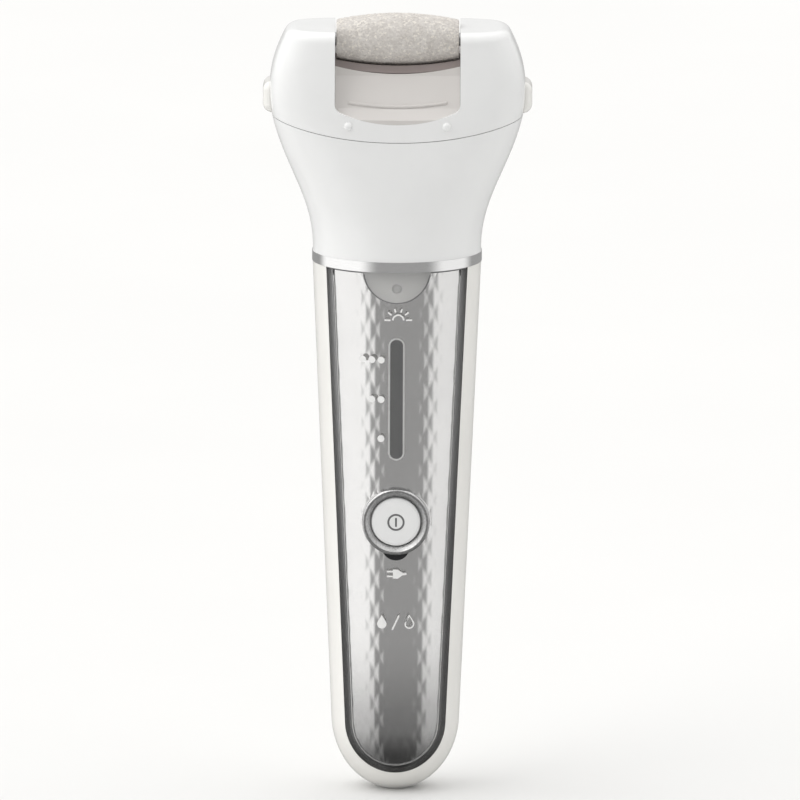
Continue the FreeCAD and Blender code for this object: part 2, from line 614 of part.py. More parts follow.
def roller_pieces():
    drum = spun(barrel(0), 0, 360)
    core = rod_x(3.6, (-ROLLER_HALF, ROLLER_HALF), ROLLER_Y, ROLLER_Z)
    axle = join(rod_x(AXLE_R, (-18.6, 15.8), ROLLER_Y, ROLLER_Z),
                rod_x(0.95, (15.8, 19.4), ROLLER_Y, ROLLER_Z))
    clip = rod_x(2.0, (-16.4, -15.8), ROLLER_Y, ROLLER_Z).cut(axle)
    save("roller_drum", drum.cut(core))
    save("roller_core", core.cut(axle))
    save("roller_axle", axle)
    save("axle_clip", clip)
    save("roller_gear", gear(ROLLER_TEETH, FINE, FINE_X, ROLLER_Z, False, 0.95))


def gear_pieces():
    for name, z, tooth_up in (("upper", IDLER_UP_Z, True), ("lower", IDLER_LOW_Z, False)):
        save("idler_gear_" + name, gear(IDLER_TEETH, FINE, FINE_X, z, tooth_up, 0.9 + RUN_FIT))
    axle = pin(REDUCTION_Z, PLATE_X[0])
    bore = 0.9 + RUN_FIT
    hub = rod_x(2.2, (PLATE_X[1] + 0.2, COARSE_X[0]), ROLLER_Y, REDUCTION_Z)
    big = join(gear(REDUCTION_TEETH, COARSE, COARSE_X, REDUCTION_Z, True, bore), hub)
    neck = rod_x(1.9, (COARSE_X[1], FINE_X[0]), ROLLER_Y, REDUCTION_Z)
    small = join(gear(OUTPUT_TEETH, FINE, FINE_X, REDUCTION_Z, True, bore), neck)
    hole = rod_x(bore, (0, 30), ROLLER_Y, REDUCTION_Z)
    save("reduction_gear", big.cut(hole))
    save("output_gear", small.cut(hole))
    save("reduction_axle", axle)
    save("motor_pinion", gear(PINION_TEETH, COARSE, COARSE_X, MOTOR_Z, False, 0.75))


def motor_pieces(neck_screws):
    flats = box((-30, 30), (ROLLER_Y - CAN_HALF_DEPTH, ROLLER_Y + CAN_HALF_DEPTH), (100, 160))
    shaft = rod_x(0.75, (-16.2, COARSE_X[1] + 0.3), ROLLER_Y, MOTOR_Z)
    bore = rod_x(0.75 + RUN_FIT, (-30, 30), ROLLER_Y, MOTOR_Z)
    boss = rod_x(3.0, (CAN_X[1], PLATE_X[1] - 0.2), ROLLER_Y, MOTOR_Z)
    can = join(rod_x(CAN_R, CAN_X, ROLLER_Y, MOTOR_Z).common(flats), boss).cut(bore)
    cap = rod_x(CAN_R - 1.0, (CAN_X[0] - 2.0, CAN_X[0]), ROLLER_Y, MOTOR_Z).common(flats).cut(bore)
    screw_z = [MOTOR_Z - 6.0, MOTOR_Z + 6.0]
    screws = [join(rod_x(0.8, (CAN_X[1] - 2, PLATE_X[1]), ROLLER_Y, z),
                   rod_x(1.4, (PLATE_X[1], PLATE_X[1] + 0.9), ROLLER_Y, z)) for z in screw_z]
    base = oval_plate(WALL + 0.15, BASE_Z).common(head(WALL + 0.1))
    base = base.cut(oval_plate(7.5, BASE_Z).cut(box((6, 14), (-FAR, FAR), (120, 130))))
    wall = box(PLATE_X, (ROLLER_Y - 7, ROLLER_Y + 7), (BASE_Z[0], REDUCTION_Z + 3))
    wall = wall.cut([rod_x(3.05, PLATE_X, ROLLER_Y, MOTOR_Z), pin(REDUCTION_Z, PLATE_X[0])]
                    + screws)
    save("motor_can", can.cut(screws))
    save("motor_end_cap", cap)
    save("motor_shaft", shaft)
    save("motor_screws", group(screws))
    save("gear_frame", join(base, wall).cut(neck_screws))


def main():
    os.makedirs("parts", exist_ok=True)
    handle_pieces()
    button_pieces()
    electronics()
    screws = neck_pieces()
    frame_pieces()
    release_pieces()
    roller_pieces()
    gear_pieces()
    motor_pieces(screws)


main()
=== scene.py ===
import math

import bmesh
import bpy
from mathutils import Matrix, Vector, noise
from mathutils.bvhtree import BVHTree


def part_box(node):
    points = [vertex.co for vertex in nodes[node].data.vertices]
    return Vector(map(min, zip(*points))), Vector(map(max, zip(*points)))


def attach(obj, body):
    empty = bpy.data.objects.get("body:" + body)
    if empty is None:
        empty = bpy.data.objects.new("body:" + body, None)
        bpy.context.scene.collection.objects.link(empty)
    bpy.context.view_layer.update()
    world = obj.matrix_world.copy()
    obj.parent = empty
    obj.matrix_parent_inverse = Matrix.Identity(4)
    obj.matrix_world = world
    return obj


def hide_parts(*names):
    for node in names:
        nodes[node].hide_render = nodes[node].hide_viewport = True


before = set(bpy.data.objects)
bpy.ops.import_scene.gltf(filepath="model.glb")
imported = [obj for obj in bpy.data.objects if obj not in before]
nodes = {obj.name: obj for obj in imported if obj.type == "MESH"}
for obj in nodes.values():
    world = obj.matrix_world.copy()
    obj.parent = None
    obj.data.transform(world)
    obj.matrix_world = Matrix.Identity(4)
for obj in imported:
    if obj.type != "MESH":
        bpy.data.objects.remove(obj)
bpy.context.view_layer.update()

MM = 0.001
scene = bpy.context.scene
scene.view_settings.view_transform = "Standard"

# ---------------------------------------------------------------- camera

FOCAL_LENGTH, SENSOR_WIDTH = 1000.0, 36.0
ELEVATION = math.radians(12.0)
LEAN = math.radians(0.22)       # the object leans a little to the right in the picture
AIM = Vector((0.8, 0.0, 88.7)) * MM
VIEW_WIDTH = 179.4 * MM         # what the picture takes in at the object
CLIP_NEAR, CLIP_FAR = 0.01, 50


def make_camera():
    """Long lens in front of the object, a little above it."""
    cam = bpy.data.cameras.new("camera")
    cam.lens, cam.sensor_width = FOCAL_LENGTH, SENSOR_WIDTH
    o = bpy.data.objects.new("camera", cam)
    scene.collection.objects.link(o)
    back = Vector((0, -math.cos(ELEVATION), math.sin(ELEVATION)))
    o.location = AIM + back * (VIEW_WIDTH * FOCAL_LENGTH / SENSOR_WIDTH)
    level = (-back).to_track_quat("-Z", "Y").to_matrix()
    o.rotation_euler = (level @ Matrix.Rotation(LEAN, 3, "Z")).to_euler()
    cam.clip_start, cam.clip_end = CLIP_NEAR, CLIP_FAR
    scene.camera = o


# ---------------------------------------------------------------- node helpers


def add(tree, kind, **values):
    """A new node; values set its properties, or its inputs by name."""
    n = tree.nodes.new(kind)
    for key, value in values.items():
        if key in n.inputs:
            n.inputs[key].default_value = value
        else:
            setattr(n, key, value)
    return n


def math_node(tree, op, a, b):
    """The operation on two values, each a number or a socket."""
    n = add(tree, "ShaderNodeMath", operation=op)
    for i, v in enumerate((a, b)):
        if isinstance(v, (int, float)):
            n.inputs[i].default_value = v
        else:
            tree.links.new(v, n.inputs[i])
    return n.outputs[0]


def step(tree, value, low, high):
    """0 below low, 1 above high, smooth between."""
    n = add(tree, "ShaderNodeMapRange", interpolation_type="SMOOTHSTEP")
    tree.links.new(value, n.inputs["Value"])
    n.inputs["From Min"].default_value = low
    n.inputs["From Max"].default_value = high
    return n.outputs["Result"]


def spread(t, value, low, high):
    """A value from 0 to 1, stretched to run from low to high."""
    n = add(t, "ShaderNodeMapRange")
    t.links.new(value, n.inputs["Value"])
    n.inputs["To Min"].default_value = low
    n.inputs["To Max"].default_value = high
    return n.outputs["Result"]


# ---------------------------------------------------------------- light and floor

# Each soft box: the azimuths in degrees between which it shines (0 is the front, positive is
# to the right), softness of its edges in radians, how it fades in with height, its strength.
FADES = {"raised": (0.08, 0.4), "above": (-0.06, 0.06)}
SOFT_BOXES = (
    (-112, -33, 0.22, None, 0.72),
    (46, 103, 0.22, None, 0.54),
    (-125, -40, 0.3, "raised", 0.58),
    (100, 165, 0.15, "raised", 0.2),
    (100, 165, 0.12, "above", 0.36),
    (-165, -100, 0.12, "above", 0.4),
)
FRONT_DIM = (-45, 75, 0.3, "above", -0.12)
TOP_FADE, TOP_LIGHT = (0.4, 0.9), 0.74
BACK_FADE, BACK_LIGHT = (0.55, 0.95), 0.12
BASE_LIGHT = 0.34
BELOW_FADE, BELOW_SHARE = (-0.85, -0.3), 0.35
SKY_COLOUR = (1.0, 0.995, 0.985, 1)
FLOOR_HALF = 12.0

def make_world():
    """A studio as one procedural sky: soft boxes beside and behind, a bright top, a dim front."""
    world = bpy.data.worlds.new("studio")
    scene.world = world
    world.use_nodes = True
    t = world.node_tree
    t.nodes.clear()
    coord = add(t, "ShaderNodeTexCoord")
    sep = add(t, "ShaderNodeSeparateXYZ")
    t.links.new(coord.outputs["Generated"], sep.inputs[0])
    x, y, z = sep.outputs
    azimuth = math_node(t, "ARCTAN2", x, math_node(t, "MULTIPLY", y, -1.0))

    def times(a, b):
        return math_node(t, "MULTIPLY", a, b)

    def sector(start, end, soft):
        a, b = math.radians(start), math.radians(end)
        rise = step(t, azimuth, a - soft, a + soft)
        fall = math_node(t, "SUBTRACT", 1.0, step(t, azimuth, b - soft, b + soft))
        return times(rise, fall)

    fades = {name: step(t, z, low, high) for name, (low, high) in FADES.items()}

    def soft_box(start, end, soft, fade, strength):
        light = sector(start, end, soft)
        if fade:
            light = times(light, fades[fade])
        return times(light, strength)

    lights = [soft_box(*row) for row in SOFT_BOXES]
    lights.append(times(step(t, z, *TOP_FADE), TOP_LIGHT))
    lights.append(times(times(step(t, y, *BACK_FADE), fades["above"]), BACK_LIGHT))
    lights.append(soft_box(*FRONT_DIM))
    glow = math_node(t, "ADD", lights[0], BASE_LIGHT)
    for light in lights[1:]:
        glow = math_node(t, "ADD", glow, light)
    glow = times(glow, spread(t, step(t, z, *BELOW_FADE), BELOW_SHARE, 1.0))
    sky = add(t, "ShaderNodeBackground", Color=SKY_COLOUR)
    t.links.new(glow, sky.inputs["Strength"])
    out = add(t, "ShaderNodeOutputWorld")
    t.links.new(sky.outputs[0], out.inputs[0])


def make_floor(paper):
    me = bpy.data.meshes.new("floor")
    s = FLOOR_HALF
    me.from_pydata([(-s, -s, 0), (s, -s, 0), (s, s, 0), (-s, s, 0)], [], [(0, 1, 2, 3)])
    o = bpy.data.objects.new("floor", me)
    scene.collection.objects.link(o)
    me.materials.append(paper)
    o.visible_glossy = False
    o.visible_transmission = False


# ---------------------------------------------------------------- materials

NOISE_ROUGH = 0.55
SKIN_SIZE, SKIN_STRENGTH, SKIN_DEPTH = 2600.0, 0.15, 0.00002
ACRYLIC_IOR = 1.49
COLOUR_A, COLOUR_B, COLOUR_OUT = 6, 7, 2        # the Mix node's sockets for colours


def shader(name):
    """New material, its node tree, its shader and the socket of the object's own coordinates."""
    m = bpy.data.materials.new(name)
    m.use_nodes = True
    t = m.node_tree
    bsdf = t.nodes["Principled BSDF"]
    coord = add(t, "ShaderNodeTexCoord")
    return m, t, bsdf, coord.outputs["Object"]


def noise_at(t, place, scale, detail=3.0, stretch=None):
    if stretch:
        m = add(t, "ShaderNodeMapping")
        m.inputs["Scale"].default_value = stretch
        t.links.new(place, m.inputs["Vector"])
        place = m.outputs[0]
    n = add(t, "ShaderNodeTexNoise", Scale=scale, Detail=detail, Roughness=NOISE_ROUGH)
    t.links.new(place, n.inputs["Vector"])
    return n.outputs["Fac"]


def ramp(t, value, *stops):
    """Colour from a value; each stop is a place from 0 to 1 and its colour."""
    n = add(t, "ShaderNodeValToRGB")
    e = n.color_ramp.elements
    while len(e) < len(stops):
        e.new(0.5)
    for item, (at, colour) in zip(e, stops):
        item.position = at
        item.color = (*colour, 1)
    t.links.new(value, n.inputs[0])
    return n.outputs[0]


def bump(t, bsdf, value, strength, distance):
    n = add(t, "ShaderNodeBump", Strength=strength, Distance=distance)
    t.links.new(value, n.inputs["Height"])
    t.links.new(n.outputs[0], bsdf.inputs["Normal"])


def painted_shade_by_height(t, place, colour, low, high, share):
    """Painted shade: colour socket times a factor that runs from share at height low to 1 at height
    high, so the colour darkens towards the bottom.
    """
    sep = add(t, "ShaderNodeSeparateXYZ")
    t.links.new(place, sep.inputs[0])
    shade = add(t, "ShaderNodeMapRange", interpolation_type="SMOOTHSTEP")
    t.links.new(sep.outputs[2], shade.inputs["Value"])
    for key, value in (("From Min", low * MM), ("From Max", high * MM), ("To Min", share)):
        shade.inputs[key].default_value = value
    mix = add(t, "ShaderNodeVectorMath", operation="SCALE")
    t.links.new(colour, mix.inputs[0])
    t.links.new(shade.outputs[0], mix.inputs["Scale"])
    return mix.outputs[0]


def tint(colour, amount):
    """Colour made lighter, or darker where the amount is negative."""
    return tuple(max(0.0, min(1.0, c * (1 + amount))) for c in colour)


def moulded(name, colour, rough, vary=0.02, fade=None, **sockets):
    """Moulded plastic or rubber: faint cloudy tone, uneven gloss and a fine skin; a fade adds
    painted shade, darker towards the bottom.
    """
    m, t, b, place = shader(name)
    cloud = noise_at(t, place, 55.0, 3.0)
    tone = ramp(t, cloud, (0.3, tint(colour, -vary)), (0.7, tint(colour, vary)))
    # Painted shade: with a fade the colour darkens towards the bottom.
    if fade:
        tone = painted_shade_by_height(t, place, tone, *fade)
    t.links.new(tone, b.inputs["Base Color"])
    t.links.new(spread(t, noise_at(t, place, 160.0, 4.0), rough * 0.82, rough * 1.18),
                b.inputs["Roughness"])
    bump(t, b, noise_at(t, place, SKIN_SIZE, 2.0), SKIN_STRENGTH, SKIN_DEPTH)
    for key, value in sockets.items():
        b.inputs[key.replace("_", " ")].default_value = value
    return m


def metal(name, colour, rough, stretch=None, size=900.0, vary=0.05, grain=0.1, depth=0.00002,
          fade=None):
    """Metal with fine marks; stretch draws them out into brush lines; a fade adds painted shade,
    darker towards the bottom.
    """
    m, t, b, place = shader(name)
    b.inputs["Metallic"].default_value = 1.0
    marks = noise_at(t, place, size, 3.0, stretch)
    tone = ramp(t, marks, (0.3, tint(colour, -vary)), (0.7, tint(colour, vary)))
    # Painted shade: with a fade the colour darkens towards the bottom.
    if fade:
        tone = painted_shade_by_height(t, place, tone, *fade)
    t.links.new(tone, b.inputs["Base Color"])
    t.links.new(spread(t, marks, rough * 0.75, rough * 1.25), b.inputs["Roughness"])
    bump(t, b, marks, grain, depth)
    return m


def clear(name, colour, rough, milky=0.0):
    """Clear or frosted plastic that lets the lamps' light through to what is behind it."""
    m, t, b, place = shader(name)
    b.inputs["Transmission Weight"].default_value = 1.0 - milky
    b.inputs["IOR"].default_value = ACRYLIC_IOR
    cloud = noise_at(t, place, 70.0, 2.0)
    t.links.new(ramp(t, cloud, (0.3, tint(colour, -0.01)), (0.7, tint(colour, 0.01))),
                b.inputs["Base Color"])
    t.links.new(spread(t, noise_at(t, place, 300.0, 3.0), rough * 0.7, rough * 1.3),
                b.inputs["Roughness"])
    ray = add(t, "ShaderNodeLightPath")
    through = add(t, "ShaderNodeBsdfTransparent", Color=(*tint(colour, -0.04), 1))
    mix = add(t, "ShaderNodeMixShader")
    t.links.new(ray.outputs["Is Shadow Ray"], mix.inputs[0])
    t.links.new(b.outputs[0], mix.inputs[1])
    t.links.new(through.outputs[0], mix.inputs[2])
    t.links.new(mix.outputs[0], t.nodes["Material Output"].inputs[0])
    return m


def abrasive():
    """Sintered grit: beige-grey grains, some white and some honey-coloured, with glints."""
    m, t, b, place = shader("abrasive")
    cells = add(t, "ShaderNodeTexVoronoi", Scale=2600.0)
    t.links.new(place, cells.inputs["Vector"])
    sep = add(t, "ShaderNodeSeparateColor")
    t.links.new(cells.outputs["Color"], sep.inputs[0])
    tone = ramp(t, sep.outputs[0], (0.0, (0.58, 0.55, 0.52)), (0.4, (0.66, 0.63, 0.60)),
                (0.8, (0.71, 0.68, 0.645)), (0.95, (0.83, 0.79, 0.73)))
    cloud = ramp(t, noise_at(t, place, 420.0, 4.0), (0.3, (0.86, 0.85, 0.84)),
                 (0.7, (1.0, 1.0, 1.0)))
    mix = add(t, "ShaderNodeMix", data_type="RGBA", blend_type="MULTIPLY")
    mix.inputs["Factor"].default_value = 1.0
    t.links.new(tone, mix.inputs[COLOUR_A])
    t.links.new(cloud, mix.inputs[COLOUR_B])
    t.links.new(mix.outputs[COLOUR_OUT], b.inputs["Base Color"])
    t.links.new(spread(t, sep.outputs[1], 0.25, 0.95), b.inputs["Roughness"])
    bump(t, b, noise_at(t, place, 3200.0, 4.0), 0.6, 0.00008)
    return m


def paper():
    """The floor's plain pale paper."""
    m, t, b, place = shader("paper")
    t.links.new(ramp(t, noise_at(t, place, 6.0, 3.0), (0.3, (0.775, 0.775, 0.77)),
                     (0.7, (0.79, 0.79, 0.785))), b.inputs["Base Color"])
    t.links.new(spread(t, noise_at(t, place, 40.0, 3.0), 0.75, 0.9), b.inputs["Roughness"])
    bump(t, b, noise_at(t, place, 900.0, 3.0), 0.05, 0.0001)
    return m


def make_materials():
    """One material for each slot of the record, and those of the pieces made here."""
    return {
        "warm_white": moulded("warm_white", (0.88, 0.87, 0.84), 0.22, Coat_Weight=0.3),
        "cool_white": moulded("cool_white", (0.88, 0.885, 0.885), 0.24, Coat_Weight=0.25),
        "clear": clear("clear", (0.985, 0.985, 0.985), 0.015),
        # Painted shade: the silver plate darkens towards the bottom, down to 0.36 at 6 mm.
        "silver": metal("silver", (0.86, 0.855, 0.85), 0.105, size=1500.0, vary=0.012, grain=0.01,
                        fade=(6.0, 40.0, 0.36)),
        # Painted shade: the dark gasket darkens towards the bottom, down to 0.10 at 10 mm.
        "dark_gasket": moulded("dark_gasket", (0.34, 0.34, 0.345), 0.25, fade=(10.0, 122.0, 0.10)),
        "black_gloss": moulded("black_gloss", (0.012, 0.012, 0.014), 0.12),
        "lens": clear("lens", (0.93, 0.93, 0.93), 0.16, milky=0.25),
        "smoke_grey": moulded("smoke_grey", (0.19, 0.192, 0.192), 0.2),
        "bright_trim": moulded("bright_trim", (0.93, 0.93, 0.92), 0.25),
        "contact_metal": metal("contact_metal", (0.86, 0.72, 0.42), 0.2),
        "bezel_metal": metal("bezel_metal", (0.52, 0.52, 0.52), 0.34, size=2400.0, vary=0.25,
                             grain=0.6, depth=0.00005),
        "seal_rubber": moulded("seal_rubber", (0.05, 0.05, 0.052), 0.6),
        "board": moulded("board", (0.03, 0.17, 0.07), 0.4, vary=0.15),
        "steel": metal("steel", (0.66, 0.66, 0.67), 0.28, stretch=(1, 30, 30)),
        "grey_plastic": moulded("grey_plastic", (0.42, 0.42, 0.43), 0.42),
        "led": clear("led", (0.95, 0.95, 0.90), 0.1, milky=0.4),
        "cell_wrap": moulded("cell_wrap", (0.09, 0.20, 0.33), 0.35, vary=0.05),
        "ring_metal": metal("ring_metal", (0.93, 0.93, 0.93), 0.11, stretch=(3, 3, 60),
                            size=260.0, vary=0.04, grain=0.08),
        "tray_grey": moulded("tray_grey", (0.66, 0.635, 0.615), 0.3),
        "trough_brown": moulded("trough_brown", (0.26, 0.22, 0.21), 0.5, vary=0.08),
        "acetal": moulded("acetal", (0.80, 0.80, 0.78), 0.35),
        "abrasive": abrasive(),
        "brass": metal("brass", (0.80, 0.62, 0.30), 0.25),
        "motor_steel": metal("motor_steel", (0.58, 0.58, 0.59), 0.32, stretch=(1, 20, 20)),
        "edge_metal": metal("edge_metal", (0.86, 0.86, 0.855), 0.12, vary=0.02),
        "print_white": moulded("print_white", (0.90, 0.90, 0.89), 0.45),
        # This grey is also the painted shade line round the lens.
        "grey_print_and_shade": moulded("grey_print_and_shade", (0.16, 0.16, 0.165), 0.4),
    }


def dress(materials):
    """Every CAD node gets the material of its own slot."""
    for o in nodes.values():
        used = [m.name.split(".")[0] for m in o.data.materials if m]
        chosen = materials.get(used[0] if used else "grey_plastic", materials["grey_plastic"])
        if not o.data.materials:
            o.data.materials.append(chosen)
        for k in range(len(o.data.materials)):
            o.data.materials[k] = chosen


# ---------------------------------------------------------------- mesh helpers

DISC_SIDES = 28
INK_LIFT, INK_THICK = 0.01, 0.04
INK_WELD = 0.01


def surface(name):
    """Search tree of a CAD node's faces."""
    me = nodes[name].data
    return BVHTree.FromPolygons([v.co for v in me.vertices],
                                [tuple(p.vertices) for p in me.polygons])


def front_y(tree, x, z):
    """Y of the first surface met from the front at (x, z), all in metres."""
    hit = tree.ray_cast(Vector((x, -0.1, z)), Vector((0, 1, 0)))[0]
    return hit.y if hit else None


def linked(name, me):
    """New object in the scene from a mesh."""
    o = bpy.data.objects.new(name, me)
    scene.collection.objects.link(o)
    return o


def placed(name, me, body, material):
    """New piece from a mesh, riding on that body and taking its finish from that slot."""
    me.materials.append(material)
    o = linked(name, me)
    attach(o, body)
    return o


def piece(name, verts, faces, body, material):
    """Smooth-shaded piece from its points and faces."""
    me = bpy.data.meshes.new(name)
    me.from_pydata(verts, [], faces)
    me.validate()
    me.update()
    me.polygons.foreach_set("use_smooth", [True] * len(me.polygons))
    return placed(name, me, body, material)


def mesh_from(bm, name):
    """The finished bmesh as a mesh."""
    me = bpy.data.meshes.new(name)
    bm.to_mesh(me)
    bm.free()
    return me


def extruded(bm):
    """Doubles every face in place, joined at the rim; gives the new vertices, still to be moved."""
    made = bmesh.ops.extrude_face_region(bm, geom=list(bm.faces))["geom"]
    return {v for v in made if isinstance(v, bmesh.types.BMVert)}


def stroke(points, width):
    """A ribbon of that width along points (x, z) in mm, as quads."""
    left, right = [], []
    for k, p in enumerate(points):
        a = points[max(k - 1, 0)]
        b = points[min(k + 1, len(points) - 1)]
        d = Vector((b[0] - a[0], b[1] - a[1])).normalized()
        n = Vector((-d.y, d.x)) * width / 2
        left.append((p[0] + n.x, p[1] + n.y))
        right.append((p[0] - n.x, p[1] - n.y))
    return [[left[k], left[k + 1], right[k + 1], right[k]] for k in range(len(points) - 1)]


def arc(cx, cz, r, start, end, steps=24):
    """Points (x, z) on a circle, from one angle to another in degrees."""
    angles = [math.radians(start + (end - start) * k / steps) for k in range(steps + 1)]
    return [(cx + r * math.cos(a), cz + r * math.sin(a)) for a in angles]


def disc(cx, cz, r):
    """Triangles of a filled circle."""
    rim = arc(cx, cz, r, 0, 360, DISC_SIDES)
    return [[(cx, cz), rim[k], rim[k + 1]] for k in range(DISC_SIDES)]


def laid_on_surface(name, polygons, tree, body, material):
    """Ink, and painted shade lines: flat polygons (x, z) in mm laid on a front surface as a thin
    closed skin.
    """
    bm = bmesh.new()
    for poly in polygons:
        area = sum(a[0] * b[1] - b[0] * a[1] for a, b in zip(poly, poly[1:] + poly[:1]))
        if area < 0:
            poly = poly[::-1]
        bm.faces.new([bm.verts.new((x * MM, 0, z * MM)) for x, z in poly])
    bmesh.ops.remove_doubles(bm, verts=bm.verts, dist=INK_WELD * MM)
    front = extruded(bm)
    for v in bm.verts:
        y = front_y(tree, v.co.x, v.co.z)
        v.co.y = (y if y is not None else 0) - (INK_LIFT + (INK_THICK if v in front else 0)) * MM
    bmesh.ops.recalc_face_normals(bm, faces=bm.faces)
    return placed(name, mesh_from(bm, name), body, material)


# ---------------------------------------------------------------- the diamond plate

HANDLE_TOP, TOP_HALF_WIDTH, TOP_HALF_DEPTH = 121.0, 18.85, 15.5
LOW_HALF_WIDTH, FOOT_CENTRE, FOOT_REACH = 14.35, 16.6, 17.0
TAPER = (TOP_HALF_WIDTH - LOW_HALF_WIDTH) / (HANDLE_TOP - FOOT_CENTRE)
PLATE_FRONT = 1.5                       # depth of the plate's front below the handle's front
DIAMOND_WIDE, DIAMOND_HIGH = 2.3, 7.2
PILLOW, PILLOW_SINK = 0.09, 0.11        # rise of a diamond's middle, depth of its edges
CELLS = 6                               # faces along each side of a diamond
DIAMOND_WELD, NODE_WELD = 0.002, 0.0005
SHEET_THICK = 8
DIAMOND_CREASE = math.radians(5)
WINDOW_LOW_HALF, WINDOW_REACH, WINDOW_TOP_GAP = 11.3, 11.7, 0.4
FOOT_STEPS, SIDE_STEPS = 24, 30
EDGE_INSET, EDGE_R, EDGE_SIDES = 2.1, 0.2, 10
LEAST = (0.01, 0.02)                    # keeps the roots real beyond the handle's outline


def handle_y(x, z, inset):
    """Y in mm of the handle's front, moved inwards by the inset, at (x, z) in mm."""
    half, reach = LOW_HALF_WIDTH - inset, FOOT_REACH - inset
    turn = math.atan2(half, reach * TAPER)
    start_x, start_z = half * math.sin(turn), FOOT_CENTRE - reach * math.cos(turn)
    if z >= start_z:
        a = start_x + TAPER * (z - start_z)
    else:
        a = half * math.sqrt(max(LEAST[0], 1 - ((FOOT_CENTRE - z) / reach) ** 2))
    b = a * (TOP_HALF_DEPTH - inset) / (TOP_HALF_WIDTH - inset)
    return -b * math.sqrt(max(LEAST[1], 1 - (x / a) ** 2))


def diamond_front(low, high, half_width):
    """Long pillowed diamonds over the plate's front, as one sheet with a crease at each edge."""
    bm = bmesh.new()
    w, h = DIAMOND_WIDE / 2, DIAMOND_HIGH / 2
    half_count = int(half_width / w) + 3
    for j in range(int((high - low) / h) + 4):
        cz = low - h + j * h
        for i in range(-half_count, half_count + 1):
            if (i + j) % 2:
                continue
            grid = []
            for a in range(CELLS + 1):
                for b in range(CELLS + 1):
                    u, v = a / CELLS, b / CELLS
                    x, z = i * w + (u - v) * w, cz + (u + v - 1) * h
                    rise = PILLOW * 16 * u * (1 - u) * v * (1 - v)
                    y = handle_y(x, z, PLATE_FRONT) + PILLOW_SINK - rise
                    grid.append(bm.verts.new((x * MM, y * MM, z * MM)))
            n = CELLS + 1
            for a in range(CELLS):
                for b in range(CELLS):
                    k = a * n + b
                    bm.faces.new((grid[k], grid[k + n], grid[k + n + 1], grid[k + 1])).smooth = True
    bmesh.ops.remove_doubles(bm, verts=bm.verts, dist=DIAMOND_WELD * MM)
    return bm


def welded(node):
    """Copy of a CAD node's mesh with its split corners joined again."""
    bm = bmesh.new()
    bm.from_mesh(nodes[node].data)
    bmesh.ops.remove_doubles(bm, verts=bm.verts, dist=NODE_WELD * MM)
    bmesh.ops.recalc_face_normals(bm, faces=bm.faces)
    return mesh_from(bm, node + "_welded")


def diamond_plate(material):
    """The plate with its diamond relief, cut to the CAD plate's own outline."""
    low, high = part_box("decor_plate")
    bm = diamond_front(low.z / MM, high.z / MM, high.x / MM)
    for v in extruded(bm):
        v.co.y += SHEET_THICK * MM
    bmesh.ops.recalc_face_normals(bm, faces=bm.faces)
    o = linked("diamond_plate", mesh_from(bm, "diamonds"))
    outline = linked("outline", welded("decor_plate"))
    cut = o.modifiers.new("cut", "BOOLEAN")
    cut.operation, cut.object, cut.solver = "INTERSECT", outline, "EXACT"
    bpy.context.view_layer.update()
    o.data = bpy.data.meshes.new_from_object(
        o.evaluated_get(bpy.context.evaluated_depsgraph_get()))
    o.modifiers.clear()
    bpy.data.objects.remove(outline)

    o.data.materials.clear()
    o.data.materials.append(material)
    o.data.set_sharp_from_angle(angle=DIAMOND_CREASE)
    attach(o, "root")
    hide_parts("decor_plate")


def window_outline(inset):
    """Points (x, z) in mm round the window's outline, moved inwards, from top left to top right."""
    half, reach = WINDOW_LOW_HALF - inset, WINDOW_REACH - inset
    turn = math.atan2(half, reach * TAPER)
    right = [(half * math.sin(a), FOOT_CENTRE - reach * math.cos(a))
             for a in (turn * k / FOOT_STEPS for k in range(FOOT_STEPS + 1))]
    x, z = right[-1]
    rise = HANDLE_TOP - WINDOW_TOP_GAP - z
    right += [(x + TAPER * rise * k / SIDE_STEPS, z + rise * k / SIDE_STEPS)
              for k in range(1, SIDE_STEPS + 1)]
    return [(-x, z) for x, z in reversed(right)] + right[1:]


def bead(name, points, radius, body, material):
    """Round bead of that radius along points, all in mm, closed at both ends."""
    verts, faces, sides = [], [], EDGE_SIDES
    spots = [Vector(p) for p in points]
    for k, p in enumerate(spots):
        along = (spots[min(k + 1, len(spots) - 1)] - spots[max(k - 1, 0)]).normalized()
        side = along.cross(Vector((0, 1, 0))).normalized()
        up = side.cross(along)
        for j in range(sides):
            a = 2 * math.pi * j / sides
            verts.append((p + (side * math.cos(a) + up * math.sin(a)) * radius) * MM)
    for k in range(len(spots) - 1):
        for j in range(sides):
            m = (j + 1) % sides
            faces.append((k * sides + j, k * sides + m, (k + 1) * sides + m, (k + 1) * sides + j))
    last = (len(spots) - 1) * sides
    faces += [tuple(range(sides))[::-1], tuple(last + j for j in range(sides))]
    return piece(name, verts, faces, body, material)


def plate_edge(material):
    """Rolled bright edge of the plate, just inside the gasket."""
    points = [(x, handle_y(x, z, PLATE_FRONT), z) for x, z in window_outline(EDGE_INSET)]
    bead("plate_edge", points, EDGE_R, "root", material)


# ---------------------------------------------------------------- the abrasive roller

ROLLER_Y, ROLLER_Z = -1.0, 171.3
ROLLER_MID, ROLLER_END, ROLLER_HALF = 5.95, 4.45, 13.7
RIM_WIDE, RIM_DROP = 0.35, 0.3          # rounding of the roller's ends
RIM_GRIT = 0.35                         # share of the grit's height left at the ends
DRUM_CREASE = math.radians(60)
GRIT_STEP = 0.13                        # size of the skin's faces
GRIT_HIGH, GRIT_SINK = 0.11, 0.45       # height of the grit, and the share of it taken inwards
# each size of grain: grains per mm, place in the pattern, reach, its seed's scale and place,
# and its share of the height
BIG_GRAINS = (1.9, (0, 0, 0), 0.75, 7.3, (0.5, 0.5, 0.5), 1.3)
SMALL_GRAINS = (4.3, (9, 4, 2), 0.8, 5.1, (0, 0, 0), 0.5)


